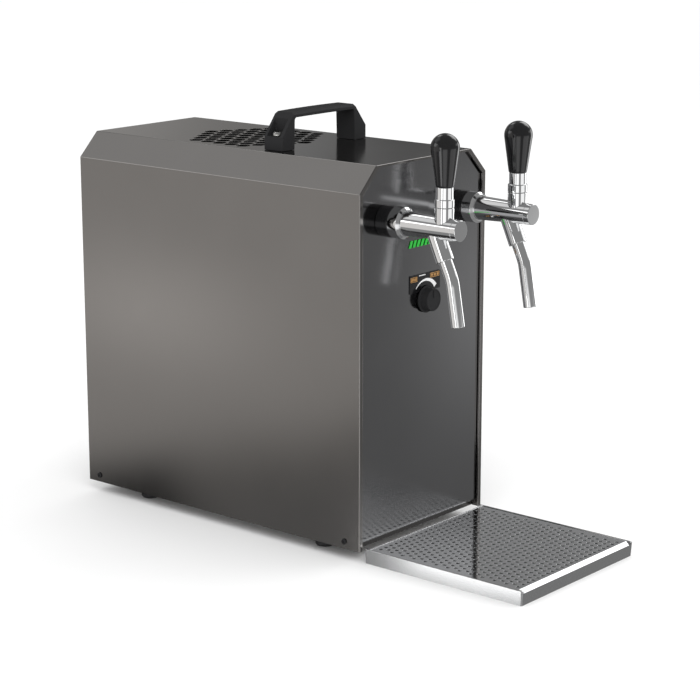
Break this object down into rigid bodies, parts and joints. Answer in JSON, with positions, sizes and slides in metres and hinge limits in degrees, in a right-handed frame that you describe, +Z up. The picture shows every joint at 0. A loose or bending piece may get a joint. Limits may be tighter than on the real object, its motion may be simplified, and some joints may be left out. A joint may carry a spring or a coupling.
{
  "type": "countertop beer cooler with taps",
  "caption": "Countertop beer cooler in a dark steel cabinet with lever taps on the front, a carrying handle, a top vent and a loose drip tray.",
  "frame": {"origin": "middle of the whole object's footprint, on the counter it stands on", "axes": "+Z up, front with the taps towards -Y, +X to the right seen from the front"},
  "size_m": [0.2034, 0.597, 0.4309],
  "materials": {
    "casing_steel": "dark warm grey satin coated stainless sheet",
    "panel_steel": "dark grey glossy, mirror-like",
    "zinc_steel": "zinc plated, semi-matt",
    "chrome": "bright polished chrome",
    "stainless": "polished stainless steel",
    "aluminium": "as cast",
    "enamel_black": "black enamel",
    "gloss_black": "high gloss black",
    "matt_black": "fine textured black",
    "rubber_black": "matt rubber",
    "foam": "pale rigid foam",
    "badge_green": "printed green"
  },
  "bodies": {
    "cooler": {"outer_casing": "casing_steel", "base_pan": "casing_steel", "rear_panel": "casing_steel", "front_panel": "panel_steel", "badge": "badge_green", "foot_front_left": "rubber_black", "casing_screw_front_left": "matt_black", "foot_front_right": "rubber_black", "casing_screw_front_right": "matt_black", "foot_rear_left": "rubber_black", "casing_screw_rear_left": "matt_black", "foot_rear_right": "rubber_black", "casing_screw_rear_right": "matt_black", "carry_handle": "matt_black", "thermostat_body": "matt_black", "fan_frame": "matt_black", "beer_inlet_left": "matt_black", "beer_inlet_right": "matt_black", "dial_plate": "gloss_black", "power_inlet": "gloss_black", "switch_bezel": "gloss_black", "handle_screw_left": "zinc_steel", "handle_screw_right": "zinc_steel", "handle_nut_left": "zinc_steel", "handle_nut_right": "zinc_steel", "beer_line_left": "stainless", "beer_line_right": "stainless", "cooling_drum": "aluminium", "condenser": "aluminium", "insulation_jacket": "foam", "compressor": "enamel_black", "tap_shank_left": "stainless", "shank_nut_left": "zinc_steel", "tap_collar_left": "gloss_black", "tap_ring_left": "chrome", "tap_body_left": "chrome", "tap_bonnet_left": "chrome", "spout_sleeve_left": "chrome", "spout_tube_left": "chrome", "tap_shank_right": "stainless", "shank_nut_right": "zinc_steel", "tap_collar_right": "gloss_black", "tap_ring_right": "chrome", "tap_body_right": "chrome", "tap_bonnet_right": "chrome", "spout_sleeve_right": "chrome", "spout_tube_right": "chrome"},
    "drip_tray": {"drip_pan": "stainless"},
    "drip_grate": {"drip_grid": "stainless"},
    "thermostat_dial": {"thermostat_knob": "matt_black"},
    "fan_wheel": {"fan_rotor": "matt_black"},
    "power_rocker": {"switch_rocker": "matt_black"},
    "lever_left": {"tap_lever_left": "chrome", "tap_knob_left": "gloss_black"},
    "plunger_left": {"valve_plunger_left": "stainless"},
    "lever_right": {"tap_lever_right": "chrome", "tap_knob_right": "gloss_black"},
    "plunger_right": {"valve_plunger_right": "stainless"}
  },
  "joints": [
    {"name": "drip_tray_slide", "type": "slide", "parent": "cooler", "child": "drip_tray", "axis": [0, -1, 0], "range_m": [0, 0.25]},
    {"name": "drip_grate_lift", "type": "slide", "parent": "drip_tray", "child": "drip_grate", "axis": [0, 0, 1], "range_m": [0, 0.08]},
    {"name": "thermostat_turn", "type": "hinge", "parent": "cooler", "child": "thermostat_dial", "pos_m": [0.006, -0.1035, 0.25], "axis": [0, 1, 0], "range_deg": [-135, 135]},
    {"name": "fan_spin", "type": "hinge", "parent": "cooler", "child": "fan_wheel", "pos_m": [0, 0.116, 0.38], "axis": [0, 0, 1], "continuous": true},
    {"name": "power_rocker_tilt", "type": "hinge", "parent": "cooler", "child": "power_rocker", "pos_m": [-0.055, 0.2747, 0.086], "axis": [1, 0, 0], "range_deg": [0, 18]},
    {"name": "tap_lever_left_tilt", "type": "hinge", "parent": "cooler", "child": "lever_left", "pos_m": [-0.0587, -0.1757, 0.35], "axis": [1, 0, 0], "range_deg": [-15, 25]},
    {"name": "valve_left_slide", "type": "slide", "parent": "cooler", "child": "plunger_left", "axis": [0, 1, 0], "range_m": [-0.0026, 0.0043]},
    {"name": "tap_lever_right_tilt", "type": "hinge", "parent": "cooler", "child": "lever_right", "pos_m": [0.0587, -0.1757, 0.35], "axis": [1, 0, 0], "range_deg": [-15, 25]},
    {"name": "valve_right_slide", "type": "slide", "parent": "cooler", "child": "plunger_right", "axis": [0, 1, 0], "range_m": [-0.0026, 0.0043]}
  ],
  "couplings": [
    {"joint": "valve_left_slide", "follows": "tap_lever_left_tilt", "m_per_rad": 0.0095},
    {"joint": "valve_right_slide", "follows": "tap_lever_right_tilt", "m_per_rad": 0.0095}
  ]
}
